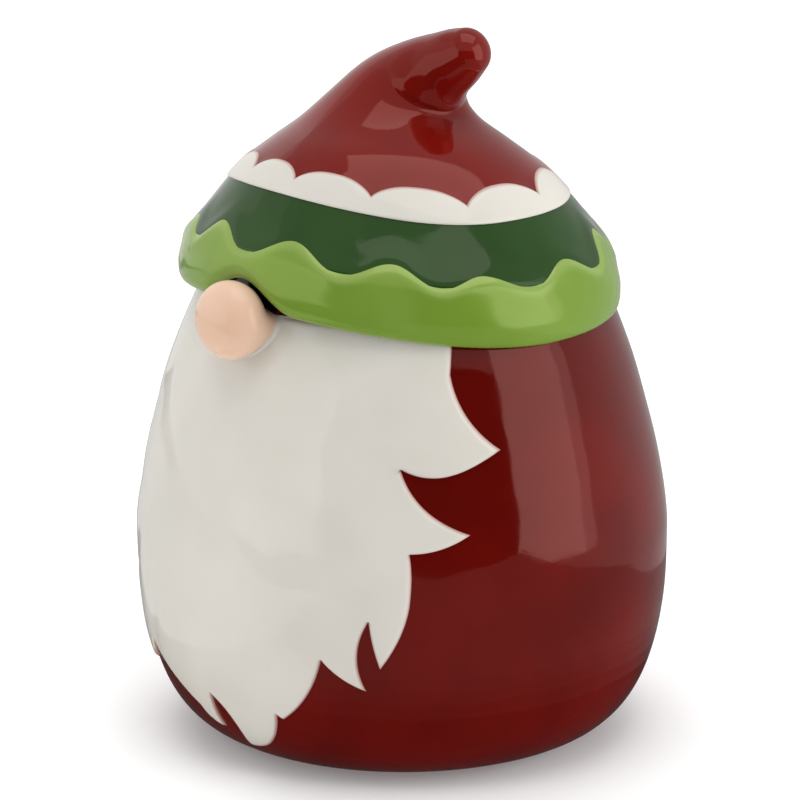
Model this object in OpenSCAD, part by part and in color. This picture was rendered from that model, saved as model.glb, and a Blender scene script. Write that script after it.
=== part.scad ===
// Ceramic gnome jar: a hollow belly with a beard and a nose, and a lift-off hat that is its lid.
// Millimetres, +Z up. The origin is on the jar's axis, in the plane it stands on.
// The face looks along -Y, so angles round the hat count from -Y towards +X.

/* [Jar] */
// Radius of the belly at its widest
belly_r = 99.5; // [96:0.5:104]
// Height of the widest ring of the belly
belly_z = 78; // [74:1:82]
// Thickness of the fired wall
wall = 5.5; // [4.5:0.5:7]
// Height of the rim that the lid sits on
rim_z = 172; // [171:0.5:173]
// Radius of the mouth
mouth_r = 65.6; // [65:0.2:67]
// Radius of the dry foot ring
foot_r = 60; // [56:1:62]
// Depth of the recess inside the foot ring
foot_recess = 3; // [2:0.5:4]

/* [Face] */
// How far the beard stands proud of the belly
beard_relief = 1.4; // [1:0.1:2]
// Radius of the nose
nose_r = 14.3; // [13:0.1:15]
// Distance of the nose's middle from the jar's axis
nose_out = 87.5; // [86:0.5:90]
// Height of the nose's middle
nose_z = 169.5; // [167:0.5:170]

/* [Hat] */
// How much higher the hat's bands run at the front than at the back
front_rise = 10; // [8:0.5:11]
// Extra height of the arch in the brim, over the nose
nose_arch = 9.6; // [9:0.2:11]
// Drop of the brim towards +X, per millimetre
side_drop = 0.04; // [0:0.01:0.04]
// How far the rolled brim stands proud of the dark band
brim_relief = 1.6; // [1.2:0.1:2.4]
// How far the white trim stands proud of the red crown
trim_relief = 1; // [0.6:0.1:1.4]
// Height of the line between the dark band and the white trim
trim_z = 203; // [202:0.5:205]
// Wall of the hat
hat_wall = 5; // [4:0.5:6]

/* [Lid seat] */
// Outer radius of the flange that drops into the mouth
flange_r = 63.4; // [62:0.2:64]
// How far the flange reaches below the rim
flange_drop = 14; // [10:1:18]
// Thickness of the silicone ring in the flange's groove
gasket_thick = 2.4; // [2:0.2:2.6]

/* [Hidden] */

burgundy = "#7a1210";
warm_white = "#e6e1da";
peach = "#e8b996";
dark_green = "#1f4d22";
light_green = "#86b545";
clay = "#e9e3d6";
silicone = "#f2f2f0";

$fn = 96;
overlap = 0.2;      // how deep a relief is sunk into the wall it is laid on

// ---- Jar profile -------------------------------------------------------------------------------
floor_z = foot_recess + wall;
dome_h = 144;        // height above the belly at which the upper curve would close
belly_start = 54.5;  // radius at which the lower curve leaves the table
rim_round = 1.2;
rim_h = 9;           // height of the straight mouth under the rim
foot_wide = 10;

function lower_curve(z, r_low, r_high, z_low) =
    r_low + (r_high - r_low) * pow(1 - pow((belly_z - z) / (belly_z - z_low), 2.6), 1 / 2.9);
function upper_curve(z, r) = r * pow(1 - pow((z - belly_z) / dome_h, 1.4), 1 / 2.6);
function outside_r(z) = z < belly_z ? lower_curve(z, belly_start, belly_r, 0) : upper_curve(z, belly_r);
function inside_r(z) = z < belly_z
    ? lower_curve(z, belly_start - wall, belly_r - wall, floor_z)
    : upper_curve(z, belly_r - wall);

low_steps = [0.6, 1.5, 3, 5, 8, 12, 17, 23, 30, 38, 47, 57, 67];
high_steps = [for (k = [0:11]) belly_z + k * 7.5];
inner_steps = [158, 150, 142, 134, 126, 118, 110, 102, 94, 86, belly_z, 66, 54, 44, 35, 27, 20, 15, 12, 10];

function skin(extra, z_top) = concat(
    [for (z = low_steps) [outside_r(z) + extra, z]],
    [for (z = high_steps) if (z < z_top) [outside_r(z) + extra, z]],
    [[outside_r(z_top) + extra, z_top]]);

module jar_outside(extra = 0) {
    z_top = rim_z - rim_round;
    rotate_extrude() polygon(concat([[0, 0], [foot_r, 0]], skin(extra, z_top), [[0, z_top]]));
}

module jar_shell() {
    outer = concat([[foot_r, 0]], skin(0, rim_z - rim_round), [[outside_r(rim_z) - rim_round, rim_z]]);
    rim = [[mouth_r + rim_round, rim_z], [mouth_r, rim_z - rim_round], [mouth_r, rim_z - rim_h]];
    inner = [for (z = inner_steps) [inside_r(z), z]];
    ring_in = foot_r - foot_wide;
    base = [[0, floor_z], [0, foot_recess], [ring_in - foot_recess, foot_recess], [ring_in, 0]];
    color(burgundy) rotate_extrude() polygon(concat(outer, rim, inner, base));
}

// ---- Beard -------------------------------------------------------------------------------------
// A stretch of outline from p towards q, bowed sideways by bow; q itself starts the next stretch.
function bowed(p, q, bow, steps = 6) = [for (k = [0:steps - 1])
    let (t = k / steps, d = q - p, side = [-d.y, d.x] / norm(d))
    p + d * t + side * bow * 4 * t * (1 - t)];

// The outline seen from the front: [x, height, bow of the stretch that leads to the next point].
beard_edge = [
    [61.5, 174, 0.4], [67.9, 154, -1.2], [83.2, 127.6, 5.6], [64, 122.5, -2.4], [83, 99.2, 1.8],
    [70.6, 93.2, 4.4], [63.4, 50.5, 0.3], [60.9, 68.5, -2.6], [58.7, 41.8, 1.1], [45.8, 52.9, 2.9],
    [27.9, 26.3, 0], [25.7, 28.1, 1.9], [15.5, 12.3, 0.6], [6, 9.4, 0], [5, 11.6, -3.2],
    [-4.8, 29.6, -0.8], [-3.6, 15.5, 1.6], [-14.2, 21.6, 0.3], [-45, 39.3, 0.5],
    [-53, 28, 3], [-63, 62, 1], [-67, 47, 2], [-74, 91, 1.5], [-84, 99, -4], [-67, 121, 4],
    [-83.5, 128, -2], [-67, 154, -1]];

function beard_outline() = concat(
    [for (k = [0:len(beard_edge) - 2])
        let (a = beard_edge[k], b = beard_edge[k + 1])
        each bowed([a.x, a.y], [b.x, b.y], a.z)],
    [[-67, 154], [-62, 174]]);

module beard() {
    color(warm_white) intersection() {
        translate([0, -20, 0]) rotate([90, 0, 0])
            linear_extrude(height = 100) polygon(beard_outline());
        difference() {
            jar_outside(beard_relief);
            jar_outside();
        }
    }
}

// ---- Nose --------------------------------------------------------------------------------------
nose_front = 11;
nose_back = 12;
root_r = 8.5;
root_flare = 1;
root_long = 17;
root_tilt = 64;
root_drop = 3;

module nose_ball() {
    arc = [for (a = [0:10:180]) [nose_r * sin(a), (a < 90 ? nose_front : nose_back) * cos(a)]];
    rotate([90, 0, 0]) rotate_extrude() polygon(arc);
}

module nose() {
    color(peach) difference() {
        translate([0, -nose_out, nose_z]) {
            nose_ball();
            translate([0, 0, -root_drop]) rotate([180 + root_tilt, 0, 0])
                cylinder(h = root_long, r1 = root_r, r2 = root_r + root_flare);
        }
        jar_outside();
    }
}

// ---- Hat ---------------------------------------------------------------------------------------
// Rings up the hat: middle [x, y], height, lean towards +X in degrees, radius.
hat_rings = [
    [-1, -1.3, 165, 0, 80], [-1, -1.3, 171, 0, 81], [-1, -1.3, 182, 0, 78.2],
    [-1, -1.3, 190, 0, 73], [-1, -1.3, 200, 0, 65.3], [-0.4, -2.8, 212, 0, 55],
    [-0.4, -4.8, 222, 0, 44], [0, -4.8, 230, 3, 34], [2.6, -3.3, 237.5, 13, 26.3],
    [6.6, -1.3, 243.5, 28, 20.8], [12, 0.2, 248, 44, 16.4], [19, 1.7, 252, 60, 12.6],
    [25.8, 2.6, 256, 66, 10.8], [31.2, 3, 259.5, 55, 8.4]];
last_ring = len(hat_rings) - 1;
brim_z = 165;
rise_full_z = 204;  // up to here the bands carry the whole front rise
rise_gone_z = 240;  // from here up none of it is left
top_skew = 10;      // degrees that the highest point of the bands moves round on the way up

function ring_at(k) = hat_rings[max(0, min(last_ring, k))];
function ring_slope(k) = (ring_at(k + 1) - ring_at(k - 1)) / (k <= 0 || k >= last_ring ? 1 : 2);
// A smooth ring between the listed ones; s counts rings from the brim.
function ring(s) = let (k = min(last_ring - 1, floor(s)), u = s - k)
    (2 * u ^ 3 - 3 * u ^ 2 + 1) * ring_at(k) + (u ^ 3 - 2 * u ^ 2 + u) * ring_slope(k)
    + (3 * u ^ 2 - 2 * u ^ 3) * ring_at(k + 1) + (u ^ 3 - u ^ 2) * ring_slope(k + 1);

// Turns from the front, -180 to 180, and a smooth bump of the given half width round the front.
function from_front(a) = abs((a + 540) % 360 - 180);
function bump(a, half) = from_front(a) < half ? 0.5 + 0.5 * cos(180 * from_front(a) / half) : 0;
function share_of(z, from, to) = max(0, min(1, (z - from) / (to - from)));
function fade(z) = let (u = share_of(z, rise_gone_z, rise_full_z)) u * u * (3 - 2 * u);
// The bands rise at the front; going up, the highest point moves round by top_skew degrees.
function lift(a, z, r) = let (u = share_of(z, brim_z, rise_full_z))
    fade(z) * front_rise * bump(a + top_skew * u, 90) - (1 - u) * side_drop * r * sin(a);

// A point of the hat's surface, moved outwards by out.
function hat_point(s, a, out = 0) = let (g = ring(s), r = g[4] + out, across = r * sin(a))
    [g.x + across * cos(g[3]), g.y - r * cos(a), g.z - across * sin(g[3]) + lift(a, g.z, r)];
function hat_loop(s, out, n) = [for (k = [0:n - 1]) hat_point(s, k * 360 / n, out)];
// The ring position whose height is z, for heights on the hat's slope, found by halving.
function s_of(z, low = 0, high = 8, turns = 18) = let (mid = (low + high) / 2)
    turns == 0 ? mid
    : ring(mid).z < z ? s_of(z, mid, high, turns - 1)
    : s_of(z, low, mid, turns - 1);

// Closed solid through loops of n points each; the loops run round a tube or end in two caps.
module loft(loops, tube) {
    n = len(loops[0]);
    m = len(loops);
    walls = [for (j = [0:m - (tube ? 1 : 2)]) for (k = [0:n - 1])
        let (next = (k + 1) % n, up = (j + 1) % m)
        each [[j * n + k, up * n + next, j * n + next], [j * n + k, up * n + k, up * n + next]]];
    caps = tube ? [] : [[for (k = [0:n - 1]) k], [for (k = [n - 1:-1:0]) (m - 1) * n + k]];
    polyhedron([for (l = loops) each l], concat(walls, caps));
}

crown_sides = 72;
trim_s = s_of(trim_z);
first_step = 0.3;
inner_step = 0.6;
outer_step = 0.34;
hollow_end = 9.4;   // ring position where the hollow of the hat ends, at the root of the tip
tip_bulge = 0.62;   // how far the rounded end stands out, as a share of its radius

module hat_crown() {
    tip = ring(last_ring);
    mid = [tip.x, tip.y, tip.z];
    along = [sin(tip[3]), 0, cos(tip[3])];
    inner = [for (s = [hollow_end:-inner_step:trim_s + first_step]) hat_loop(s, -hat_wall, crown_sides)];
    outer = [for (s = [trim_s + first_step:outer_step:last_ring]) hat_loop(s, 0, crown_sides)];
    ends = [for (turn = [27, 54, 81]) [for (p = hat_loop(last_ring, 0, crown_sides))
        mid + (p - mid) * cos(turn) + along * tip[4] * tip_bulge * sin(turn)]];
    color(burgundy) loft(concat(inner, [hat_loop(trim_s, -hat_wall, crown_sides)],
        [hat_loop(trim_s, 0, crown_sides)], outer, ends), false);
}

// Angles of the points where the red runs down between the white scallops.
scallop_at = [6, 35.5, 70, 105, 139, 172, 204, 234, 262, 289, 316, 342];
scallop_low = 6;
scallop_high = 11.4;
trim_sides = 144;

// Which span of a list of rising angles holds the angle a, and how far along that span it is, 0 to 1.
function unwrap(list, a) = a < list[0] ? a + 360 : a;
function span_at(list, a, k = 0) = k == len(list) - 1 || a < list[k + 1] ? k : span_at(list, a, k + 1);
function along_span(list, a) = let (b = unwrap(list, a), k = span_at(list, b),
    end = k + 1 < len(list) ? list[k + 1] : list[0] + 360) (b - list[k]) / (end - list[k]);
function scallop(a) = let (u = abs(2 * along_span(scallop_at, a) - 1))
    scallop_low + (scallop_high - scallop_low) * pow(1 - pow(u, 2.4), 0.8);

// The loops are [share of the trim's height, share of its relief], up the face of it.
trim_face = [[0, 0.5], [0.1, 1], [0.5, 1], [0.9, 1], [1, 0.5]];

module scallop_trim() {
    function trim_loop(share, out) = [for (k = [0:trim_sides - 1]) let (a = k * 360 / trim_sides)
        hat_point(s_of(trim_z + scallop(a) * share), a, out)];
    color(warm_white) loft(concat(
        [trim_loop(0, -overlap)],
        [for (f = trim_face) trim_loop(f.x, trim_relief * f.y)],
        [trim_loop(1, -overlap), trim_loop(0.5, -overlap)]), true);
}

// The dark band is the wall of the hat between the trim and the seat ledge.
ledge_r = 74.5;
ledge_thick = 4;
band_foot = rim_z + ledge_thick;
band_sides = 96;
tuck = 4;           // how far the band's foot is drawn in behind the brim
tuck_s = 1.4;       // ring position of that foot

module hat_band() {
    function level(r) = [for (k = [0:band_sides - 1]) let (a = k * 360 / band_sides)
        [r * sin(a), -r * cos(a), band_foot]];
    function foot(out) = [for (p = hat_loop(tuck_s, out, band_sides))
        [p.x, p.y, (p.z + max(p.z, band_foot + tuck)) / 2]];
    color(dark_green) loft(concat(
        [level(ledge_r), foot(-tuck), hat_loop(2, -overlap * 3, band_sides)],
        [for (s = [2.5, 3, 3.5, trim_s]) hat_loop(s, 0, band_sides)],
        [for (s = [trim_s, 3.5, 3]) hat_loop(s, -hat_wall, band_sides)],
        [hat_loop(2, -hat_wall - 1.5, band_sides), foot(-tuck - hat_wall), level(ledge_r - hat_wall)]), true);
}

// Angles and heights of the wavy edge's crests, and the height of its troughs.
crests = [[15, 191], [43.5, 190], [68, 188.5], [97, 190], [125, 193.5], [150, 192], [173, 190.5],
    [198, 190], [223, 190.5], [248, 190], [272, 190.5], [297, 190], [325, 190], [346, 191.5]];
crest_at = [for (c = crests) c[0]];
trough_z = 184;
function wave(a) = let (u = along_span(crest_at, a), k = span_at(crest_at, unwrap(crest_at, a)),
    crest_z = crests[(u < 0.5 ? k : k + 1) % len(crests)][1])
    trough_z + (crest_z - trough_z) * (0.5 + 0.5 * cos(360 * u));

// The lip is the brim's lower edge, which arches over the nose.
lip_z = 164.3;
lip_in = 79.3;
lip_out = 82.3;
lip_round = 1.3;
arch_half = 18;
function lip(a) = lip_z + front_rise * bump(a, 90) - side_drop * lip_out * sin(a)
    + nose_arch * bump(a, arch_half);

brim_sides = 168;
// The brim's rolled face, from the lip up: [share of the height, how far it stands proud].
brim_face = [[0, 0.4], [0.25, 1], [0.5, 0.6 * brim_relief], [0.75, 0.9 * brim_relief],
    [0.93, brim_relief], [1, 0.8 * brim_relief]];
brim_top_s = 2.05;

module hat_brim() {
    angles = [for (k = [0:brim_sides - 1]) k * 360 / brim_sides];
    function lip_loop(r, up) = [for (a = angles) [r * sin(a), -r * cos(a), lip(a) + up]];
    function face_loop(share, out) = [for (a = angles)
        let (low = lip(a) - lift(a, lip_z, lip_out) + lip_round, high = wave(a) - lip_round)
        hat_point(s_of(low + (high - low) * share), a, out)];
    function crest_loop(out) = [for (a = angles) hat_point(s_of(wave(a)), a, out)];
    function back_loop() = [for (a = angles) let (p = hat_point(brim_top_s, a, -0.9))
        [p.x, p.y, max(p.z, lip(a) + 3 * lip_round)]];
    color(light_green) loft(concat(
        [lip_loop(lip_in, lip_round), lip_loop(lip_in + lip_round, 0)],
        [for (f = brim_face) face_loop(f.x, f.y)],
        [crest_loop(0.4 * brim_relief), crest_loop(-overlap)],
        [back_loop(), lip_loop(lip_in, 4 * lip_round)]), true);
}

// ---- Lid seat ----------------------------------------------------------------------------------
flange_wall = 5;
groove_h = 5;
groove_deep = gasket_thick - 1;
groove_top = rim_z - 4;

module lid_flange() {
    foot = rim_z - flange_drop;
    inside = flange_r - flange_wall;
    color(clay) rotate_extrude() polygon([
        [inside, foot + 1], [inside + 1, foot], [flange_r - 1, foot], [flange_r, foot + 1],
        [flange_r, groove_top - groove_h], [flange_r - groove_deep, groove_top - groove_h],
        [flange_r - groove_deep, groove_top], [flange_r, groove_top], [flange_r, rim_z],
        [ledge_r, rim_z], [ledge_r, band_foot], [inside, band_foot]]);
}

module lid_gasket() {
    low = groove_top - groove_h;
    mid = groove_top - groove_h / 2;
    inside = flange_r - groove_deep;
    outside = inside + gasket_thick;
    color(silicone) rotate_extrude() polygon([
        [inside, low], [flange_r, low], [outside, mid - 1],
        [outside, mid + 1], [flange_r, groove_top], [inside, groove_top]]);
}

jar_shell();
beard();
nose();
hat_crown();
scallop_trim();
hat_band();
hat_brim();
lid_flange();
lid_gasket();
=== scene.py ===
"""Looks of the ceramic gnome jar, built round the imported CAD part.

Lengths are in millimetres until mesh_piece() turns them into metres. The face looks along -Y,
and angles round the jar and the hat count in degrees from -Y towards +X, as in the CAD.
"""

import math

import bmesh
import bpy
import numpy as np
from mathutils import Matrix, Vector
from mathutils.geometry import delaunay_2d_cdt


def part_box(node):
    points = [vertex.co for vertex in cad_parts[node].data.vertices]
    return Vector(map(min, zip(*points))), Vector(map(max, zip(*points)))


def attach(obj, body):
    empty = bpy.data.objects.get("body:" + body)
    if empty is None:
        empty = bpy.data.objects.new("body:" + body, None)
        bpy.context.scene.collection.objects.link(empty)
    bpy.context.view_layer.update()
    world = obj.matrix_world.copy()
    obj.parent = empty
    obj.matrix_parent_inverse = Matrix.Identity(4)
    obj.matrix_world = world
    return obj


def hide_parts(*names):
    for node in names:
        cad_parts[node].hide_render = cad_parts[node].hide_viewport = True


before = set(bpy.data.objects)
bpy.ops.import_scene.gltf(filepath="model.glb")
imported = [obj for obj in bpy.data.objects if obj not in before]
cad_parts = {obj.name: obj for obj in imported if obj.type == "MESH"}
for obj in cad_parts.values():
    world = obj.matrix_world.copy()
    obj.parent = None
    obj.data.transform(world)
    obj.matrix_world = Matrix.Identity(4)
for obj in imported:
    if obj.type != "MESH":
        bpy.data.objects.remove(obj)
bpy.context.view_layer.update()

MM = 0.001


def node_top(name):
    """The highest corner of a CAD node's box, in millimetres."""
    return [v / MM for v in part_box(name)[1]]


# ---- Sizes -------------------------------------------------------------------------------------
BELLY_R, _, RIM_Z = node_top("jar_shell")
LEDGE_R, _, BAND_FOOT = node_top("lid_flange")
GASKET_R = node_top("lid_gasket")[0]

# The jar: its wall, mouth and foot ring, and the curve of its belly, which is widest at BELLY_Z.
WALL = 5.5
MOUTH_R = 65.6
RIM_H = 9.0
FOOT_R = 60.0
FOOT_WIDE = 10.0
FOOT_RECESS = 3.0
FLOOR_Z = FOOT_RECESS + WALL
BELLY_START = 54.5
BELLY_Z = 78.0
DOME_H = 144.0

BEARD_RELIEF = 1.4
# The nose's ball, and how far it reaches to the front and the back, and to the back below the rim.
NOSE_MIDDLE = np.array([0.0, -87.5, 169.5])
NOSE_R = node_top("nose")[0]
NOSE_FRONT = 11.0
NOSE_BACK = 12.0
NOSE_BACK_LOW = 16.0
# The neck that joins the ball to the wall, and the fillets round both.
NOSE_BLEND = 2.6
NOSE_NECK_WIDE = 12.2
NOSE_NECK_UP = 4.2
NOSE_NECK_DOWN = 8.6
NOSE_NECK_LOWER = 1.2
NOSE_NECK_BLEND = 3.4
# How far from the beard the glaze turns peach, how deep the fillet and then the whole nose run into
# the relief, how far the nose keeps from the lid's ledge, and how wide it is cut off in the wall.
NOSE_FADE = 4.6
NOSE_SUNK = 0.35
NOSE_CUT = -1.2
NOSE_CLEAR = 1.35
NOSE_FOOTING = 21.0

# The lid: its wall, the rise of its bands over the face, its reliefs, and its flange and groove.
HAT_WALL = 5.0
FRONT_RISE = 10.0
NOSE_ARCH = 9.6
SIDE_DROP = 0.04
TRIM_RELIEF = 1.0
TRIM_Z = 203.0
FLANGE_R = 63.4
FLANGE_WALL = 5.0
FLANGE_DROP = 14.0
GROOVE_TOP = RIM_Z - 4
GROOVE_H = 5.0
GROOVE_DEEP = 1.4

# ---- Mesh helpers ------------------------------------------------------------------------------
SHARP_EDGE = math.radians(48)
# Points once round the plainer rings: the linings, the flange and the silicone ring.
RING_AROUND = 224


def mesh_piece(name, points, faces, attributes=None):
    """A smooth-shaded object from points in millimetres; each attribute is one number per point."""
    mesh = bpy.data.meshes.new(name)
    mesh.from_pydata((np.asarray(points, float) * MM).tolist(), [], faces)
    bm = bmesh.new()
    bm.from_mesh(mesh)
    bmesh.ops.recalc_face_normals(bm, faces=bm.faces)
    bm.to_mesh(mesh)
    bm.free()
    mesh.shade_smooth()
    mesh.set_sharp_from_angle(angle=SHARP_EDGE)
    for key, values in (attributes or {}).items():
        layer = mesh.attributes.new(key, "FLOAT", "POINT")
        layer.data.foreach_set("value", np.asarray(values, np.float32))
    obj = bpy.data.objects.new(name, mesh)
    bpy.context.scene.collection.objects.link(obj)
    return obj


def loft_faces(rows, around, tube):
    """Quads between rows of points that each run once round; a tube's last row meets its first."""
    k = np.arange(around)
    after = (k + 1) % around
    faces = []
    for j in range(rows if tube else rows - 1):
        low, high = j * around, (j + 1) % rows * around
        faces += np.stack([low + k, low + after, high + after, high + k], 1).tolist()
    return faces


def loft_piece(name, loops, tube=True, attributes=None):
    """A closed piece through loops of points: a tube, or a skin that ends in a point at each end."""
    loops = np.asarray(loops, float)
    rows, around, _ = loops.shape
    points = loops.reshape(-1, 3)
    faces = loft_faces(rows, around, tube)
    if not tube:
        points = np.vstack([points, loops[0].mean(0), loops[-1].mean(0)])
        first, last = rows * around, rows * around + 1
        top = (rows - 1) * around
        faces += [[first, (k + 1) % around, k] for k in range(around)]
        faces += [[last, top + k, top + (k + 1) % around] for k in range(around)]
        attributes = {key: np.append(v, [v[0], v[-1]]) for key, v in (attributes or {}).items()}
    return mesh_piece(name, points, faces, attributes)


def polar(radius, angle, z):
    """Points at a radius, an angle in degrees and a height."""
    radius, angle, z = np.broadcast_arrays(radius, np.radians(angle), z)
    return np.stack([radius * np.sin(angle), -radius * np.cos(angle), z], -1)


def turns(n):
    """Angles, in degrees, of n even steps once round."""
    return np.arange(n) * 360.0 / n


def arc(middle, radius, start, end, steps):
    """Points (across, up) on an arc, for rounding a profile's corner."""
    a = np.radians(np.linspace(start, end, steps))
    return [(middle[0] + radius * math.cos(t), middle[1] + radius * math.sin(t)) for t in a]


def lathe_piece(name, profile, around=192):
    """A closed profile of (radius, height) points, turned round the axis into a ring."""
    r, z = np.array(profile, float).T
    return loft_piece(name, polar(r[:, None], turns(around)[None, :], z[:, None]))


def smooth(x, low, high):
    """0 below low, 1 above high, and a smooth step between them."""
    t = np.clip((x - low) / (high - low), 0, 1)
    return t * t * (3 - 2 * t)


RIPPLE_COUNT = 26
RIPPLE_SEED = 5
RIPPLE_SHORT = 13
RIPPLE_LONG = 110
RIPPLE_HEIGHT = 0.0006


def make_ripples():
    """Plane waves that add up to the unevenness of a cast and glazed wall: ways, heights, phases."""
    rng = np.random.default_rng(RIPPLE_SEED)
    lengths = np.geomspace(RIPPLE_SHORT, RIPPLE_LONG, RIPPLE_COUNT)
    ways = rng.normal(size=(RIPPLE_COUNT, 3))
    ways /= np.linalg.norm(ways, axis=1)[:, None]
    phases = rng.uniform(0, 2 * math.pi, RIPPLE_COUNT)
    return ways * (2 * math.pi / lengths)[:, None], RIPPLE_HEIGHT * lengths**1.05, phases


RIPPLE_WAYS, RIPPLE_HEIGHTS, RIPPLE_PHASES = make_ripples()


def uneven(points):
    """How far the cast wall stands off its true shape, a few tenths of a millimetre at most."""
    waves = np.sin(points @ RIPPLE_WAYS.T + RIPPLE_PHASES)
    return waves @ RIPPLE_HEIGHTS


# ---- Jar ---------------------------------------------------------------------------------------
def wall_curve(z, r_low, r_high, z_low):
    """Radius of the belly's curve at the height z, from r_low at z_low out to r_high at BELLY_Z."""
    z = np.asarray(z, float)
    low = np.clip((BELLY_Z - z) / (BELLY_Z - z_low), 0, 1)
    high = np.clip((z - BELLY_Z) / DOME_H, 0, 1)
    return np.where(
        z < BELLY_Z,
        r_low + (r_high - r_low) * (1 - low**2.6) ** (1 / 2.9),
        r_high * (1 - high**1.4) ** (1 / 2.6),
    )


def outside_r(z):
    return wall_curve(z, BELLY_START, BELLY_R, 0)


def inside_r(z):
    return wall_curve(z, BELLY_START - WALL, BELLY_R - WALL, FLOOR_Z)


def outside_point(angle, z, out=0.0):
    """A point of the jar's outside, as cast, moved outwards by out."""
    r = outside_r(z)
    return polar(r + uneven(polar(r, angle, z)) + out, angle, z)


JAR_AROUND = 320
LIP_ROUND = 1.7
LIP_TOP_R = float(outside_r(RIM_Z - LIP_ROUND))
LINER = 0.5
# Heights of the outside's rows, closer together near the foot, where the curve is tight.
OUTSIDE_ROWS = np.concatenate([
    [0.35, 0.6, 1, 1.6, 2.4, 3.4, 4.6], np.linspace(6, BELLY_Z, 44),
    np.linspace(BELLY_Z, RIM_Z - LIP_ROUND, 60)[1:],
])
# The belly's inside ends here, and a neck runs on up to the mouth.
INSIDE_TOP_Z = 158
# The neck of the mouth, just under the rim: how far below the rim it is bare and then glazed.
NECK_BARE = 3.5
NECK_GLAZED = 4.5
# The clay's underside lies this far up in the base's glaze.
BASE_HIDDEN = 0.55
BASE_MIDDLE_R = 20


def jar_wall():
    """The red cast wall, from its foot up over the rim, down inside and under the floor."""
    a = turns(JAR_AROUND)
    outer = [outside_point(a, z) for z in OUTSIDE_ROWS]
    rim = arc((LIP_TOP_R - LIP_ROUND, RIM_Z - LIP_ROUND), LIP_ROUND, 15, 90, 6)
    rim += arc((MOUTH_R + LIP_ROUND, RIM_Z - LIP_ROUND), LIP_ROUND, 90, 180, 7)
    under_glaze = MOUTH_R + LINER / 2
    rim += [(MOUTH_R, RIM_Z - NECK_BARE), (under_glaze, RIM_Z - NECK_GLAZED), (under_glaze, RIM_Z - RIM_H)]
    inner = [(float(inside_r(z)) + LINER / 2, z) for z in np.linspace(INSIDE_TOP_Z, 9.5, 60)]
    underside, foot_in = FOOT_RECESS + BASE_HIDDEN, FOOT_R - FOOT_WIDE
    base = [(BASE_MIDDLE_R, FLOOR_Z - LINER / 2), (BASE_MIDDLE_R, underside), (foot_in - 2, underside)]
    base += [(foot_in, 1.2), (FOOT_R, 0.6)]
    rest = [polar(r, a, z) for r, z in rim + inner + base]
    return loft_piece("jar_wall", outer + rest)


# The lining's upper edge (past the mouth's radius, above the rim), its share of the way from the
# mouth to the wall where the neck ends, and the radii of its rows on the jar's floor.
LINER_EDGE = [(0.05, -3.6), (-0.12, -4.4), (-0.08, -6), (0, -RIM_H)]
LINER_TURN_Z = 161.5
LINER_TURN = 0.35
LINER_FLOOR = (50, 40, 28, 15, 5)
LINER_FLOOR_RISE = 0.6


def jar_liner():
    """The white glaze that lines the inside, from just under the rim down over the floor."""
    a = turns(RING_AROUND)
    skin = [(MOUTH_R + r, RIM_Z + z) for r, z in LINER_EDGE]
    skin += [(float(inside_r(160)) * LINER_TURN + MOUTH_R * (1 - LINER_TURN), LINER_TURN_Z)]
    skin += [(float(inside_r(z)), z) for z in np.linspace(INSIDE_TOP_Z, 10, 56)]
    skin += [(r, FLOOR_Z + LINER_FLOOR_RISE * (r / 70) ** 4) for r in LINER_FLOOR]
    back = [(r + LINER, z - (LINER if z < 12 else 0)) for r, z in skin]
    loops = [polar(r, a, z) for r, z in skin[::-1] + back]
    return loft_piece("jar_liner", loops, False)


FOOT_ROUND_IN = 1.2
FOOT_ROUND_OUT = 0.8


def foot_ring():
    """The bare clay ring that the jar stands on."""
    low, high = FOOT_R - FOOT_WIDE, FOOT_R
    profile = arc((low + FOOT_ROUND_IN, FOOT_ROUND_IN), FOOT_ROUND_IN, 180, 270, 6)
    profile += arc((high - FOOT_ROUND_OUT, FOOT_ROUND_OUT), FOOT_ROUND_OUT, 270, 335, 5)
    profile += [(high + 0.4, 1.2), (high - 2, 2.6), (low - 1.5, FOOT_RECESS + 0.4), (low - 1, 2.2)]
    return lathe_piece("foot_ring", profile)


BASE_RADII = [FOOT_R - FOOT_WIDE - 0.8, 44, 38, 30, 20, 10, 3, 0.5]
BASE_DOME = 0.5
BASE_EDGE_DROP = 1.2
BASE_GLAZE = 0.6


def base_glaze():
    """The glazed disc inside the foot ring, with the shallow dome that a cast base has."""
    under = [(r, FOOT_RECESS + BASE_DOME - BASE_DOME * smooth(r, 30, 49)) for r in BASE_RADII]
    under[0] = (BASE_RADII[0], FOOT_RECESS - BASE_EDGE_DROP)
    top = [(r, z + BASE_GLAZE) for r, z in under]
    a = turns(160)
    return loft_piece("base_glaze", [polar(r, a, z) for r, z in under[::-1] + top], False)


# ---- Beard -------------------------------------------------------------------------------------
# The outline seen from the front: x, height, bow of the stretch that leads to the next point.
BEARD_EDGE = [
    (61.5, 174, 0.4), (67.9, 154, -1.2), (83.2, 127.6, 5.6), (64, 122.5, -2.4), (83, 99.2, 1.8),
    (70.6, 93.2, 4.4), (63.4, 50.5, 0.3), (60.9, 68.5, -2.6), (58.7, 41.8, 1.1), (45.8, 52.9, 2.9),
    (27.9, 26.3, 0), (25.7, 28.1, 1.9), (15.5, 12.3, 0.6), (6, 9.4, 0), (5, 11.6, -3.2),
    (-4.8, 29.6, -0.8), (-3.6, 15.5, 1.6), (-14.2, 21.6, 0.3), (-45, 39.3, 0.5),
    (-53, 28, 3), (-63, 62, 1), (-67, 47, 2), (-74, 91, 1.5), (-84, 99, -4), (-67, 121, 4),
    (-83.5, 128, -2), (-67, 154, -1), (-62, 174, 0),
]
BEARD_TOP = RIM_Z - LIP_ROUND
EDGE_STEP = 0.9
EDGE_APART = 0.4
EDGE_ROUND = 1.7
EDGE_THIN = 0.8
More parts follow.
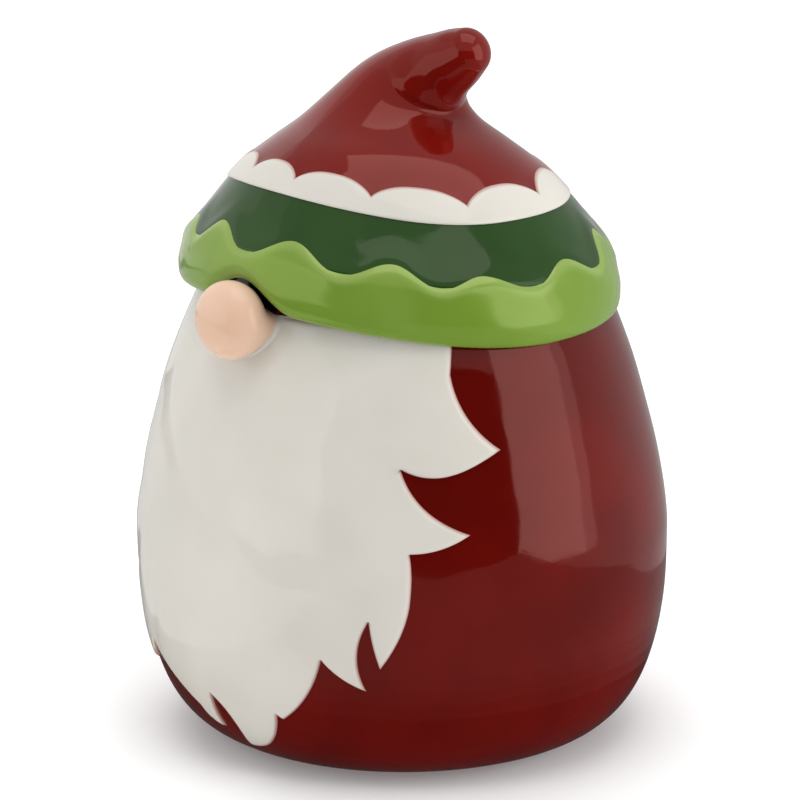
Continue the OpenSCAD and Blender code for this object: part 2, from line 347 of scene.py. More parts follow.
# Depths, inside the outline, of the rows of points that round its edge, and the grid within them.
EDGE_ROWS = (0.2, 0.5, 0.9, 1.4, 2.1)
GRID_STEP = 1.7
GRID_CLEAR = 2.9
# The relief's edge stands this proud of the wall, and its back lies this deep in it.
BEARD_EDGE_OUT = 0.06
BEARD_BACK = -0.4
# Valleys between the locks: points (x, height) from a notch upwards, how deep, how wide.
LOCK_VALLEYS = [
    ([(45.5, 52.5), (42, 68), (34, 90)], 0.45, 5),
    ([(60.5, 68), (57, 84), (48, 104)], 0.5, 5),
    ([(27, 28), (24, 42), (17, 62)], 0.45, 5),
    ([(-4, 30), (-3, 46), (2, 70)], 0.4, 5),
    ([(63, 122.8), (50, 124), (38, 132)], 0.45, 6),
    ([(70, 93.5), (60, 97), (50, 108)], 0.4, 6),
    ([(-42, 42), (-38, 58), (-28, 78)], 0.45, 5),
    ([(-62, 63), (-57, 80), (-48, 98)], 0.45, 5),
    ([(-67, 121), (-54, 124), (-42, 132)], 0.45, 6),
    ([(-74, 91), (-62, 98), (-52, 108)], 0.4, 6),
]


def beard_outline():
    """Evenly spaced points (x, height) round the beard, in the listed order."""
    points = []
    for (px, pz, bow), (qx, qz, _) in zip(BEARD_EDGE, BEARD_EDGE[1:] + BEARD_EDGE[:1]):
        p, q = np.array([px, pz], float), np.array([qx, qz], float)
        along = q - p
        length = np.linalg.norm(along)
        side = np.array([-along[1], along[0]]) / length
        for t in np.arange(0, 1, 1 / max(4, round(length / EDGE_STEP))):
            points.append(p + along * t + side * bow * 4 * t * (1 - t))
    points = np.array(points)
    points[:, 1] = np.minimum(points[:, 1], BEARD_TOP)
    apart = np.linalg.norm(points - np.roll(points, 1, axis=0), axis=1)
    return points[apart > EDGE_APART]


def distance_to_path(points, path, closed):
    """Distance of each 2-D point from a path of straight stretches."""
    ends = np.roll(path, -1, axis=0) if closed else path[1:]
    starts = path if closed else path[:-1]
    best = np.full(len(points), 1e9)
    for p, q in zip(starts, ends):
        d = q - p
        t = np.clip((points - p) @ d / max(d @ d, 1e-9), 0, 1)
        best = np.minimum(best, np.linalg.norm(points - p - t[:, None] * d, axis=1))
    return best


def inside_path(points, path):
    """Which 2-D points are inside a closed path."""
    inside = np.zeros(len(points), bool)
    for p, q in zip(path, np.roll(path, -1, axis=0)):
        crosses = (p[1] > points[:, 1]) != (q[1] > points[:, 1])
        rise = q[1] - p[1] if q[1] != p[1] else 1e-9
        inside ^= crosses & (points[:, 0] < (q[0] - p[0]) * (points[:, 1] - p[1]) / rise + p[0])
    return inside


def beard_plan():
    """Points and triangles of the beard seen from the front, and its outline."""
    edge = beard_outline()
    along = np.roll(edge, -1, axis=0) - np.roll(edge, 1, axis=0)
    length = np.maximum(np.linalg.norm(along, axis=1), 1e-9)
    inward = np.stack([-along[:, 1], along[:, 0]], 1) / length[:, None]
    if inside_path(edge + inward * 0.05, edge).mean() <= 0.5:
        inward = -inward
    rings = []
    for depth in EDGE_ROWS:
        ring_points = edge + inward * depth
        keep = distance_to_path(ring_points, edge, True) > depth * 0.96
        rings.append(ring_points[keep & inside_path(ring_points, edge)])
    xs, zs = np.meshgrid(np.arange(-84, 84.1, GRID_STEP), np.arange(10, BEARD_TOP, GRID_STEP))
    grid = np.stack([xs.ravel(), zs.ravel()], 1)
    grid = grid[inside_path(grid, edge)]
    grid = grid[distance_to_path(grid, edge, True) > GRID_CLEAR]
    points = np.vstack([edge] + rings + [grid])
    loop = [(k, (k + 1) % len(edge)) for k in range(len(edge))]
    out, _, faces, origins, _, _ = delaunay_2d_cdt([Vector(p) for p in points], loop, [], 1, 1e-4)
    return np.array([v[:] for v in out]), [list(f) for f in faces], edge


def beard_piece():
    plan, triangles, edge = beard_plan()
    depth = distance_to_path(plan, edge, True)
    across = 1 - np.clip(depth / EDGE_ROUND, 0, 1)
    height = BEARD_EDGE_OUT + BEARD_RELIEF * np.sqrt(1 - across**2)
    for path, deep, wide in LOCK_VALLEYS:
        path = np.array(path, float)
        away = distance_to_path(plan, path, False)
        climb = np.linalg.norm(plan - path[0], axis=1) / np.linalg.norm(path[-1] - path[0])
        fade = (1 - smooth(climb, 0.3, 1.0)) * smooth(depth, 0, 3)
        height -= deep * np.exp(-((away / wide) ** 2)) * fade
    x, z = plan.T
    angle = np.degrees(np.arcsin(np.clip(x / outside_r(z), -1, 1)))
    front = outside_point(angle, z, height)
    back = outside_point(angle, z, BEARD_BACK)
    n = len(plan)
    sides = {}
    for a, b, c in triangles:
        for p, q in ((a, b), (b, c), (c, a)):
            sides[(p, q)] = sides.get((p, q), 0) + 1
    rim = [(p, q) for p, q in sides if (q, p) not in sides]
    faces = triangles + [[c + n, b + n, a + n] for a, b, c in triangles]
    faces += [[q, p, p + n, q + n] for p, q in rim]
    thin = np.concatenate([np.clip(1 - depth / EDGE_THIN, 0, 1)] * 2)
    return mesh_piece("beard_relief", np.vstack([front, back]), faces, {"thin": thin})


# ---- Nose --------------------------------------------------------------------------------------
def nose_wall_r(z):
    """Radius of the beard's relief at the height z."""
    return outside_r(z) + BEARD_RELIEF


# The nose is sampled along rays from a point inside it, this far in front of the beard's relief.
NOSE_START = np.array([0, -nose_wall_r(NOSE_MIDDLE[2]) - 2.2, NOSE_MIDDLE[2]])
NOSE_AROUND = 176
BALL_ROWS = 88
# The first ray row's angle above the axis, and how far out the rays behind the ball meet the wall.
FIRST_TILT = 89.5
FOOTING_REACHES = np.concatenate([np.linspace(NOSE_FOOTING, 6, 46), [4, 2, 0.3]])
# Each ray is followed in steps, and the last step is then halved until its end is exact.
RAY_FIRST = 0.5
RAY_STEP = 0.3
RAY_STEPS = 100
RAY_HALVINGS = 12
# Above this height the nose has to stay clear of the lid.
LID_CLEAR_Z = RIM_Z - 1.3
# A level distance from the leaning wall is longer than the true one by this much.
WALL_LEAN = 0.86


def nose_rays():
    """Rows of directions that cover the ball evenly, and then the wall behind it."""
    turn = turns(NOSE_AROUND) * math.pi / 180
    across, up = np.cos(turn), np.sin(turn)
    flat = np.stack([across, 0 * turn, up], 1)
    behind = []
    for reach in FOOTING_REACHES:
        x, z = NOSE_START[0] + across * reach, NOSE_START[2] + up * reach
        y = -np.sqrt((nose_wall_r(z) + NOSE_CUT) ** 2 - x**2)
        way = np.stack([x, y, z], 1) - NOSE_START
        behind.append(way / np.linalg.norm(way, axis=1)[:, None])
    # From the front of the ball round to the first of those, so that no ray crosses another.
    first, last = math.radians(FIRST_TILT), np.arcsin(-behind[0][:, 1])
    rays = []
    for share in np.linspace(0, 1, BALL_ROWS + 1)[:-1]:
        tilt = first * (1 - share) + last * share
        rays.append(flat * np.cos(tilt)[:, None] - np.stack([0 * tilt, np.sin(tilt), 0 * tilt], 1))
    return np.array(rays + behind)


def gap_to_wall(p):
    """Distance of each point from the beard's relief, less than 0 inside it."""
    return (np.hypot(p[:, 0], p[:, 1]) - nose_wall_r(p[:, 2]) - uneven(p)) * WALL_LEAN


def blend_gaps(one, other, blend):
    """The lower of two distances, rounded where they are about equal."""
    mix = np.clip(0.5 + 0.5 * (one - other) / blend, 0, 1)
    return one * (1 - mix) + other * mix - blend * mix * (1 - mix)


def gap_to_nose(p):
    """Distance of each point from the ball, its neck and the fillet round them, less than 0 inside."""
    q = p - NOSE_MIDDLE
    # Below the rim the ball's back reaches well into the wall.
    back = NOSE_BACK + (NOSE_BACK_LOW - NOSE_BACK) * smooth(RIM_Z + 2.5 - p[:, 2], 0, 6)
    side = np.full(len(q), NOSE_R)
    size = np.stack([side, np.where(q[:, 1] < 0, NOSE_FRONT, back), side], 1)
    a, b = np.linalg.norm(q / size, axis=1), np.linalg.norm(q / size**2, axis=1)
    ball = a * (a - 1) / np.maximum(b, 1e-9)
    # A neck nearly as wide as the ball, but flatter, joins it to the wall below the rim.
    z = q[:, 2] + NOSE_NECK_LOWER
    tall = np.where(z > 0, NOSE_NECK_UP, NOSE_NECK_DOWN)
    neck = (np.hypot(q[:, 0] / NOSE_NECK_WIDE, z / tall) - 1) * NOSE_NECK_DOWN
    ball = blend_gaps(np.maximum(neck, -q[:, 1]), ball, NOSE_NECK_BLEND)
    blend = 0.5 + (NOSE_BLEND - 0.5) * smooth(RIM_Z + 1 - p[:, 2], 0, 7)
    wall = gap_to_wall(p) + NOSE_SUNK + 3 * smooth(p[:, 2], RIM_Z - 2, RIM_Z + 1)
    return blend_gaps(wall, ball, blend)


def outside_nose(p):
    """Which points are past the nose's surface, too deep in the wall, or too near the lid's ledge."""
    by_lid = (np.hypot(p[:, 0], p[:, 1]) < LEDGE_R + NOSE_CLEAR) & (p[:, 2] > LID_CLEAR_Z)
    return (gap_to_nose(p) > 0) | (gap_to_wall(p) < NOSE_CUT) | by_lid


def nose_piece():
    """A slightly flattened ball, joined to the beard by a soft fillet that sinks under its surface."""
    rays = nose_rays()
    way = rays.reshape(-1, 3)
    reach = np.full(len(way), RAY_FIRST)
    going = np.ones(len(way), bool)
    for _ in range(RAY_STEPS):
        step = reach + RAY_STEP
        going &= ~outside_nose(NOSE_START + way * step[:, None])
        reach = np.where(going, step, reach)
    low, high = reach, reach + RAY_STEP
    for _ in range(RAY_HALVINGS):
        half = (low + high) / 2
        out = outside_nose(NOSE_START + way * half[:, None])
        low, high = np.where(out, low, half), np.where(out, half, high)
    points = NOSE_START + way * low[:, None]
    pale = 1 - smooth(gap_to_wall(points), 0.0, NOSE_FADE)
    return loft_piece("nose_ball", points.reshape(rays.shape), False, {"pale": pale})


# ---- Hat ---------------------------------------------------------------------------------------
# Rings up the hat: middle x, y, height, lean towards +X in degrees, radius.
HAT_RINGS = np.array([
    (-1, -1.3, 165, 0, 80), (-1, -1.3, 171, 0, 81), (-1, -1.3, 182, 0, 78.2), (-1, -1.3, 190, 0, 73),
    (-1, -1.3, 200, 0, 65.3), (-0.4, -2.8, 212, 0, 55), (-0.4, -4.8, 222, 0, 44), (0, -4.8, 230, 3, 34),
    (2.6, -3.3, 237.5, 13, 26.3), (6.6, -1.3, 243.5, 28, 20.8), (12, 0.2, 248, 44, 16.4),
    (19, 1.7, 252.3, 60, 12.9), (25.8, 2.6, 256.2, 64, 10.9), (31.6, 3, 259.7, 61, 8.6),
])
LAST_RING = len(HAT_RINGS) - 1
RING_SLOPES = np.gradient(HAT_RINGS, axis=0)
BRIM_Z = 165.0
RISE_FULL_Z = 204.0
RISE_GONE_Z = 240.0
TOP_SKEW = 10.0
HAT_UNEVEN = 0.8
HAT_INSIDE = -HAT_WALL + LINER / 2


def ring(s):
    """The hat's ring at position s, counted from the brim, smooth between the listed rings."""
    s = np.asarray(s, float)
    k = np.clip(np.floor(s).astype(int), 0, LAST_RING - 1)
    u = (s - k)[..., None]
    return (
        (2 * u**3 - 3 * u**2 + 1) * HAT_RINGS[k]
        + (u**3 - 2 * u**2 + u) * RING_SLOPES[k]
        + (3 * u**2 - 2 * u**3) * HAT_RINGS[k + 1]
        + (u**3 - u**2) * RING_SLOPES[k + 1]
    )


def from_front(a):
    """How many degrees each angle is away from the face."""
    return np.abs((np.asarray(a, float) + 540) % 360 - 180)


def bump(a, half):
    """1 over the face, falling smoothly to 0 at the angle half on each side."""
    away = from_front(a)
    return np.where(away < half, 0.5 + 0.5 * np.cos(np.pi * away / half), 0)


def lift(a, z, r):
    """How far the hat's bands run above their ring's height at the angle a."""
    u = np.clip((z - BRIM_Z) / (RISE_FULL_Z - BRIM_Z), 0, 1)
    front = smooth(RISE_GONE_Z - z, 0, RISE_GONE_Z - RISE_FULL_Z) * FRONT_RISE * bump(a + TOP_SKEW * u, 90)
    return front - (1 - u) * SIDE_DROP * r * np.sin(np.radians(a))


def hat_place(s, a, out):
    """Points of the hat's true surface at ring position s and angle a, moved outwards by out."""
    s, a, out = np.broadcast_arrays(s, a, out)
    x, y, z, lean, r = np.moveaxis(ring(s), -1, 0)
    r = r + out
    across = r * np.sin(np.radians(a))
    tilt = np.radians(lean)
    z = z - across * np.sin(tilt) + lift(a, z, r)
    return np.stack([x + across * np.cos(tilt), y - r * np.cos(np.radians(a)), z], -1)


def hat_point(s, a, out=0.0):
    """Points of the hat's surface as cast, moved outwards by out."""
    return hat_place(s, a, out + uneven(hat_place(s, a, 0)) * HAT_UNEVEN)


S_TABLE = np.linspace(0, 8, 1601)
Z_TABLE = ring(S_TABLE)[:, 2]


def s_of(z):
    """The ring position whose height is z, on the hat's slope."""
    return np.interp(z, Z_TABLE, S_TABLE)


def spans(starts, a):
    """For each angle, which span between the listed angles holds it, and how far along it is."""
    starts = np.asarray(starts, float)
    a = np.where(a < starts[0], a + 360, a)
    k = np.searchsorted(starts, a, side="right") - 1
    ends = np.append(starts[1:], starts[0] + 360)
    return k, (a - starts[k]) / (ends[k] - starts[k])


# Angles of the notches between the trim's scallops, and the trim's height at a notch and between two.
SCALLOP_AT = [6, 35.5, 70, 105, 139, 172, 204, 234, 262, 289, 316, 342]
SCALLOP_LOW = 6.0
SCALLOP_HIGH = 11.4


def scallop(a):
    """Height of the trim above its lower edge."""
    _, u = spans(SCALLOP_AT, a)
    return SCALLOP_LOW + (SCALLOP_HIGH - SCALLOP_LOW) * (1 - np.abs(2 * u - 1) ** 2.4) ** 0.8


# Angles and heights of the wavy edge's crests, and the height of its troughs.
CRESTS = np.array([
    (15, 191), (43.5, 190), (68, 188.5), (97, 190), (125, 193.5), (150, 192), (173, 190.5),
    (198, 190), (223, 190.5), (248, 190), (272, 190.5), (297, 190), (325, 190), (346, 191.5),
])
TROUGH_Z = 184.0


def wave(a):
    """Height of the wavy edge between the brim and the dark band."""
    k, u = spans(CRESTS[:, 0], a)
    crest_z = CRESTS[np.where(u < 0.5, k, k + 1) % len(CRESTS), 1]
    return TROUGH_Z + (crest_z - TROUGH_Z) * (0.5 + 0.5 * np.cos(2 * np.pi * u))


LIP_Z = 164.3
LIP_OUT = 82.3
ARCH_HALF = 18.0


def lip(a):
    """Height of the brim's lower edge, which arches over the nose."""
    level = LIP_Z + FRONT_RISE * bump(a, 90) - SIDE_DROP * LIP_OUT * np.sin(np.radians(a))
    return level + NOSE_ARCH * bump(a, ARCH_HALF)


TRIM_S = float(s_of(TRIM_Z))
HOLLOW_END = 9.4
CREASE_DEEP = 2.1
CREASE_S = 9.6
CREASE_ABOVE = 0.45
CREASE_BELOW = 1.5
CREASE_AT = 52.0
CREASE_HALF = 95.0
TIP_BULGE = 0.8
TIP_END = 87.0
FILLET_OUT = 0.35
FILLET_REACH = 1.6


def crown_out(s, a):
    """How far the crown stands out: the fold under its bent tip, and the fillet above the scallops."""
    away = np.abs((a - CREASE_AT + 540) % 360 - 180)
    fold = np.where(away < CREASE_HALF, np.cos(np.pi / 2 * np.clip(away / CREASE_HALF, 0, 1)) ** 2, 0)
    fold = fold * np.exp(-(((s - CREASE_S) / np.where(s > CREASE_S, CREASE_ABOVE, CREASE_BELOW)) ** 2))
    above_trim = ring(s)[..., 2] - TRIM_Z - scallop(a)
    fillet = FILLET_OUT * np.exp(-np.clip(above_trim, 0, 50) / FILLET_REACH)
    return fillet - CREASE_DEEP * fold


CROWN_ROWS = np.concatenate([np.linspace(TRIM_S, 6, 44), np.linspace(6, LAST_RING, 110)[1:]])


def crown_piece():
    """The red cone with its bent, rounded tip, hollow up to HOLLOW_END."""
    s, angle = CROWN_ROWS[:, None], turns(288)[None, :]
    outer = hat_point(s, angle, crown_out(s, angle))
    tip = ring(LAST_RING)
    lean = math.radians(tip[3])
    middle, along = tip[:3], np.array([math.sin(lean), 0, math.cos(lean)])
    # The rounded end starts at the angle whose slope carries on from the last rings.
    before = ring(LAST_RING - 0.2)
    narrowing = (before[4] - tip[4]) / np.linalg.norm(tip[:3] - before[:3])
    start = math.atan(narrowing * TIP_BULGE)
    turn = np.linspace(start, math.radians(TIP_END), 16)[1:, None, None]
    inwards = np.cos(turn) / math.cos(start)
    onwards = (np.sin(turn) - math.sin(start)) / math.cos(start)
    end = middle + (outer[-1] - middle) * inwards + along * tip[4] * TIP_BULGE * onwards
    inner_s = np.linspace(HOLLOW_END, TRIM_S, 34)[:, None]
    inner = hat_place(inner_s, angle, HAT_INSIDE)
    return loft_piece("crown_wall", np.vstack([inner, outer, end]), False)


# The trim's section: share of its height, and of its relief; its back lies in the wall.
TRIM_SECTION = [
    (0, -0.4), (0, 0.35), (0.02, 0.62), (0.05, 0.84), (0.1, 0.97), (0.16, 1), (0.3, 1), (0.5, 1),
    (0.7, 1), (0.84, 1), (0.9, 0.97), (0.95, 0.84), (0.98, 0.62), (1, 0.3), (1, -0.4), (0.5, -0.4),
]
TRIM_THIN = 0.9


def trim_piece():
    """The white band with scallops along its upper edge."""
    a = turns(960)[None, :]
    share, out = np.array(TRIM_SECTION, float).T[:, :, None]
    z = TRIM_Z + scallop(a) * share
    loops = hat_point(s_of(z), a, np.where(out > 0, out * TRIM_RELIEF, out))
    edge = np.broadcast_to(np.clip(1 - scallop(a) * (1 - share) / TRIM_THIN, 0, 1), z.shape)
    return loft_piece("scallop_band", loops, True, {"thin": edge.ravel()})


BAND_FILLET = 0.9
BAND_REACH = 4.5
BAND_START_Z = 184
# Radius and height of the band's rows that join it to the lid's ledge.
BAND_SKIRT = [
    (LEDGE_R - 0.3, BAND_FOOT - 0.2), (LEDGE_R + 0.1, RIM_Z + 0.4), (LEDGE_R + 0.6, RIM_Z + 0.4),
    (LEDGE_R + 0.8, BAND_FOOT),
]
# Under the brim the wall's face runs inside the hat's surface by these depths, first at TUCK_S and
# then at BEHIND_S, and it stays above the ledge.
TUCK_S = 1.4
TUCK_OUT = -4
TUCK_CLEAR = 4
BEHIND_S = 2.0
BEHIND_OUT = -0.6
BAND_SUNK = 0.05
BAND_TOP_OUT = -1.5


def tucked(a, out):
    """The row low inside the brim, eased up where it would come near the ledge."""
    row = hat_place(TUCK_S, a, out)
    row[..., 2] = (row[..., 2] + np.maximum(row[..., 2], BAND_FOOT + TUCK_CLEAR)) / 2
    return row


def band_piece():
    """The dark band, which is also the hat's wall behind the brim, down to the lid's ledge."""
    a = turns(480)[None, :]
    foot = np.stack([polar(r, a[0], z) for r, z in BAND_SKIRT])
    behind = hat_place(BEHIND_S, a, BEHIND_OUT)
    z = np.linspace(BAND_START_Z, TRIM_Z, 34)[:, None]
    above = np.clip(z - wave(a), 0, 50)
    outer = hat_point(s_of(z), a, BAND_FILLET * np.exp(-((above / BAND_REACH) ** 2)) - BAND_SUNK)
    top = hat_point(TRIM_S, a, BAND_TOP_OUT)
    inner = hat_place(np.array([TRIM_S, 4, 3.5, 3])[:, None], a, HAT_INSIDE)
    low = hat_place(BEHIND_S, a, -1.5 + HAT_INSIDE)
    level = polar(LEDGE_R - HAT_WALL, a[0], BAND_FOOT)[None]
    face = [foot, tucked(a, TUCK_OUT), behind, outer, top]
    rows = np.vstack(face + [inner, low, tucked(a, TUCK_OUT + HAT_INSIDE), level])
    # Painted shade: the skirt and tucked row under the brim, and the row at the ledge, turn near-black for
    # the shade in the gap over the nose.
    painted_gap_shade = np.zeros(rows.shape[:2])
    painted_gap_shade[:len(foot) + 1] = painted_gap_shade[-1] = 1
    return loft_piece("dark_band", rows, True, {"painted_gap_shade": painted_gap_shade.ravel()})


# The brim's rounded foot: height above the lip, share of the way from the inside to the outside.
BRIM_FOOT_IN = [(5, 0), (3, 0), (1.6, 0), (0.8, 0.04), (0.3, 0.12), (0.06, 0.22)]
BRIM_FOOT_H = 4.8
BRIM_FOOT_OUT = 1.25
BRIM_FOOT_MIDDLE = 0.3
BRIM_DROP = 0.5
# Its face: share of the height up to just below the wave, how far it stands proud.
BRIM_FACE = [
    (0.2, 1.32), (0.32, 1.3), (0.43, 1.26), (0.54, 1.23), (0.65, 1.25), (0.75, 1.35), (0.85, 1.49),
    (0.93, 1.58), (1.0, 1.6),
]
# And its upper edge: height above the wave's line, how far it stands proud.
BRIM_EDGE = [
    (-2.8, 1.56), (-2.4, 1.5), (-1.9, 1.38), (-1.4, 1.2), (-0.95, 0.97), (-0.55, 0.7), (-0.2, 0.38),
    (0.05, 0.0), (0.1, -0.5),
]
WAVE_BEVEL = 3.2
LIP_IN_R = 78.9
LIP_IN_MIDDLE = (-0.5, -0.65, 0)
# Where the face is lower than FULL_FACE_H, as over the nose, it is nearer to flat.
FLAT_FACE = 1.35
FULL_FACE_H = 11
# The lip's back lies behind the band's face, this high above the lip at least. The crest's paler
# glaze, partly glaze thinning over the edge and partly a painted highlight, starts just below the
# wave's line and fades out over CREST_WIDE.
LIP_BACK_H = 5.5
LIP_BACK_S = 2.05
LIP_BACK_OUT = -0.9
CREST_START = 0.6
CREST_WIDE = 3.0


def brim_at(z, a, out):
    """Points of the brim's outside, which runs straight down below the hat's lowest ring."""
    points = hat_point(s_of(z), a, out)
    points[..., 2] += np.minimum(z - BRIM_Z, 0)
    return points


def brim_piece():
    """The light green brim, rounded at its foot and wavy along its upper edge."""
    a = turns(840)
    lip_z = lip(a) - BRIM_DROP
    low = lip_z - lift(a, LIP_Z, LIP_OUT)
    line = wave(a)
    outer = brim_at(low + BRIM_FOOT_H, a, BRIM_FOOT_OUT)
    inner = polar(LIP_IN_R, a, lip_z) + LIP_IN_MIDDLE
    foot_shape = BRIM_FOOT_IN + [
        (BRIM_FOOT_H * (1 - math.cos(t)), BRIM_FOOT_MIDDLE + (1 - BRIM_FOOT_MIDDLE) * math.sin(t))
        for t in np.radians(np.linspace(0, 80, 9))
    ]
    foot = []
    for rise, share in foot_shape:
        row = inner + (outer - inner) * share
        row[:, 2] = lip_z + (outer[:, 2] - lip_z) * rise / BRIM_FOOT_H
        foot.append(row)
    share, out = np.array(BRIM_FACE).T[:, :, None]
    face_h = line - WAVE_BEVEL - low - BRIM_FOOT_H
    face_z = low + BRIM_FOOT_H + face_h * share
    face = brim_at(face_z, a, FLAT_FACE + (out - FLAT_FACE) * np.clip(face_h / FULL_FACE_H, 0, 1) ** 2)
    rise, out = np.array(BRIM_EDGE).T[:, :, None]
    edge_z = line + rise
    edge = brim_at(edge_z, a, out)
    back = hat_place(LIP_BACK_S, a, LIP_BACK_OUT)
    back[..., 2] = np.maximum(back[..., 2], lip_z + LIP_BACK_H)
    loops = np.vstack([np.array(foot), outer[None], face, edge, back[None]])
    below = line - np.vstack([np.tile(low, (len(foot) + 1, 1)), face_z, edge_z, line[None]])
    crest_thin_glaze_and_highlight = np.exp(-((np.clip(below - CREST_START, 0, 50) / CREST_WIDE) ** 2))
    return loft_piece("light_brim", loops, True, {"crest_thin_glaze_and_highlight": crest_thin_glaze_and_highlight.ravel()})


# Ring position and depth of the lining's rows behind the band.
LINING_ROWS = ((2.0, -6.7), (3, -5.2), (3.5, -5.2), (4, -5.2))
LINING_TUCK = -9.2
LINING_GLAZE = 0.5
CAP_SHARES = (0.8, 0.5, 0.2)


def lining_piece():
    """The white glaze inside the hat, from the seat flange up into the hollow and over its top."""
    a = turns(RING_AROUND)[None, :]
    skin = [polar(LEDGE_R - HAT_WALL - 0.3, a[0], BAND_FOOT + 0.1), tucked(a, LINING_TUCK)[0]]
    skin += [hat_place(s, a, out)[0] for s, out in LINING_ROWS]
    skin += [hat_place(s, a, -HAT_WALL - 0.2)[0] for s in np.linspace(TRIM_S, HOLLOW_END - 0.2, 30)]
    skin = np.array(skin)
    away = skin - skin.mean(axis=1, keepdims=True)
    back = skin + away / np.linalg.norm(away, axis=2, keepdims=True) * LINING_GLAZE
    middle = skin[-1].mean(0)
    cap = [middle + (skin[-1] - middle) * share for share in CAP_SHARES]
    cap_back = [row + np.array([0, 0, LINING_GLAZE]) for row in reversed(cap)]
    return loft_piece("lid_lining", np.vstack([skin, cap, cap_back, back[::-1]]))


# ---- Lid seat ----------------------------------------------------------------------------------
FLANGE_ROUND = 1.3
GROOVE_BEVEL = 0.4


def flange_piece():
    """The ledge that rests on the jar's rim, and the flange with the ring's groove that fits inside it."""
    foot = RIM_Z - FLANGE_DROP
    inside = FLANGE_R - FLANGE_WALL
    groove_r = FLANGE_R - GROOVE_DEEP
    groove_foot = GROOVE_TOP - GROOVE_H
    corner_z, bevel_r = foot + FLANGE_ROUND, FLANGE_R - GROOVE_BEVEL
    profile = arc((inside + FLANGE_ROUND, corner_z), FLANGE_ROUND, 180, 270, 6)
    profile += arc((FLANGE_R - FLANGE_ROUND, corner_z), FLANGE_ROUND, 270, 360, 6)
    profile += [(FLANGE_R, groove_foot - GROOVE_BEVEL), (bevel_r, groove_foot), (groove_r, groove_foot)]
    profile += [(groove_r, GROOVE_TOP), (bevel_r, GROOVE_TOP), (FLANGE_R, GROOVE_TOP + GROOVE_BEVEL)]
    profile += [(FLANGE_R, RIM_Z - 1)]
    profile += [(FLANGE_R + 0.3, RIM_Z - 0.3), (FLANGE_R + 1, RIM_Z)]
    profile += arc((LEDGE_R - 1, RIM_Z + 1), 1, 270, 360, 5) + [(LEDGE_R, BAND_FOOT), (inside, BAND_FOOT)]
    return lathe_piece("seat_flange", profile, RING_AROUND)


RING_LIPS = 3
LIP_ROOT = 0.62
LIP_EDGE = 0.4


def gasket_piece():
    """A silicone ring with soft lips."""
    low, high = GROOVE_TOP - GROOVE_H, GROOVE_TOP
    inside = FLANGE_R - GROOVE_DEEP
    body = FLANGE_R - 0.2
    profile = [(inside, low + 0.1), (body, low + 0.1)]
    lip_h = (high - low) / RING_LIPS
    for k in range(RING_LIPS):
        middle = low + lip_h * (k + 0.5)
        profile += [(body, middle - LIP_ROOT), (GASKET_R - 0.25, middle - LIP_EDGE), (GASKET_R, middle)]
        profile += [(GASKET_R - 0.25, middle + LIP_EDGE), (body, middle + LIP_ROOT)]
    profile += [(body, high - 0.1), (inside, high - 0.1)]
    return lathe_piece("silicone_ring", profile, RING_AROUND)


# ---- Materials ---------------------------------------------------------------------------------
class Nodes:
    """A material's node tree, with short calls for the nodes that the glazes share."""

    def __init__(self, name):
        self.material = bpy.data.materials.new(name)
        self.material.use_nodes = True
        self.tree = self.material.node_tree
        self.shader = next(n for n in self.tree.nodes if n.type == "BSDF_PRINCIPLED")
        self.place = self.add("ShaderNodeTexCoord").outputs["Object"]

    def add(self, kind, **settings):
        node = self.tree.nodes.new(kind)
        for key, value in settings.items():
            setattr(node, key, value)
        return node

    def link(self, source, target):
        self.tree.links.new(source, target)

    def noise(self, scale, detail=3.0, roughness=0.5):
        """Even noise; scale is how many waves there are in a metre."""
        node = self.add("ShaderNodeTexNoise")
        node.inputs["Scale"].default_value = scale
        node.inputs["Detail"].default_value = detail
        node.inputs["Roughness"].default_value = roughness
        self.link(self.place, node.inputs["Vector"])
        return node.outputs["Fac"]

    def attribute(self, name):
        return self.add("ShaderNodeAttribute", attribute_name=name).outputs["Fac"]

    def ranged(self, value, low, high, to_low, to_high):
        """Takes a value's range from low to high over to another range, smoothly and clamped."""
        node = self.add("ShaderNodeMapRange", interpolation_type="SMOOTHSTEP")
        keys = ("From Min", "From Max", "To Min", "To Max")
        for key, number in zip(keys, (low, high, to_low, to_high)):
            node.inputs[key].default_value = number
        self.link(value, node.inputs["Value"])
        return node.outputs["Result"]

    def mix(self, share, a, b):
        node = self.add("ShaderNodeMix", data_type="RGBA")
        self.link(share, node.inputs["Factor"])
        for colour, socket in ((a, node.inputs["A"]), (b, node.inputs["B"])):
            if isinstance(colour, tuple):
                socket.default_value = (*colour, 1)
            else:
                self.link(colour, socket)
        return node.outputs["Result"]

    def bump(self, height, strength, distance):
        node = self.add("ShaderNodeBump")
        node.inputs["Strength"].default_value = strength
        node.inputs["Distance"].default_value = distance
        self.link(height, node.inputs["Height"])
        self.link(node.outputs["Normal"], self.shader.inputs["Normal"])


def glaze(name, deep, pale, edge=None, edge_colour=None, edge_from=0.0, edge_to=1.0, shine=0.5,
          tint=(1, 1, 1), rough=0.07):
    """Glossy glaze whose colour drifts from deep to pale, and turns to edge_colour where edge is high,
    which on some glazes is thin glaze at an edge and on others painted shade and painted highlight.
    """
    m = Nodes(name)
    drift = m.ranged(m.noise(22, 2), 0.3, 0.7, 0, 1)
    colour = m.mix(drift, deep, pale)
    speck = m.ranged(m.noise(900, 2), 0.68, 0.76, 0, 0.12)
    colour = m.mix(speck, colour, tuple(c * 0.6 for c in deep))
    if edge:
        colour = m.mix(m.ranged(m.attribute(edge), edge_from, edge_to, 0, 1), colour, edge_colour)
    m.link(colour, m.shader.inputs["Base Color"])
    m.link(m.ranged(m.noise(60, 3), 0.3, 0.7, rough * 0.7, rough * 1.3), m.shader.inputs["Roughness"])
    m.shader.inputs["IOR"].default_value = 1.5
    m.shader.inputs["Specular IOR Level"].default_value = shine
    m.shader.inputs["Specular Tint"].default_value = (*tint, 1)
    m.bump(m.noise(420, 2), 0.12, 0.0001)
    return m.material


